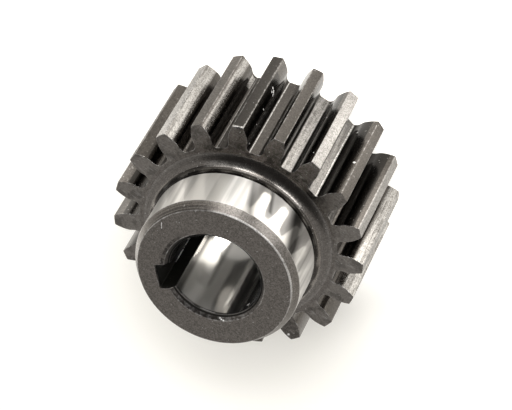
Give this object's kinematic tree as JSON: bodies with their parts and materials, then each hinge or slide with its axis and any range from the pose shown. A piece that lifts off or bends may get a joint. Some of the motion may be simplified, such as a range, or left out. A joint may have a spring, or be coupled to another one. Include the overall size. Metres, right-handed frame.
{
  "type": "pinion gear",
  "caption": "Steel spur pinion cut from one piece, with a ground hub on one side and a chamfered bore with a keyway.",
  "frame": {"origin": "centre of the shaft axis on the flat back face, which the gear stands on", "axes": "+Z along the shaft axis, out of the hub; the keyway opens towards +X"},
  "size_m": [0.0443, 0.0444, 0.0347],
  "materials": {
    "blackened_steel": "black oxide on turned and hobbed faces, bright ground steel on the hub's outside and in the bore"
  },
  "bodies": {
    "root": {"pinion_gear": "blackened_steel"}
  },
  "joints": []
}
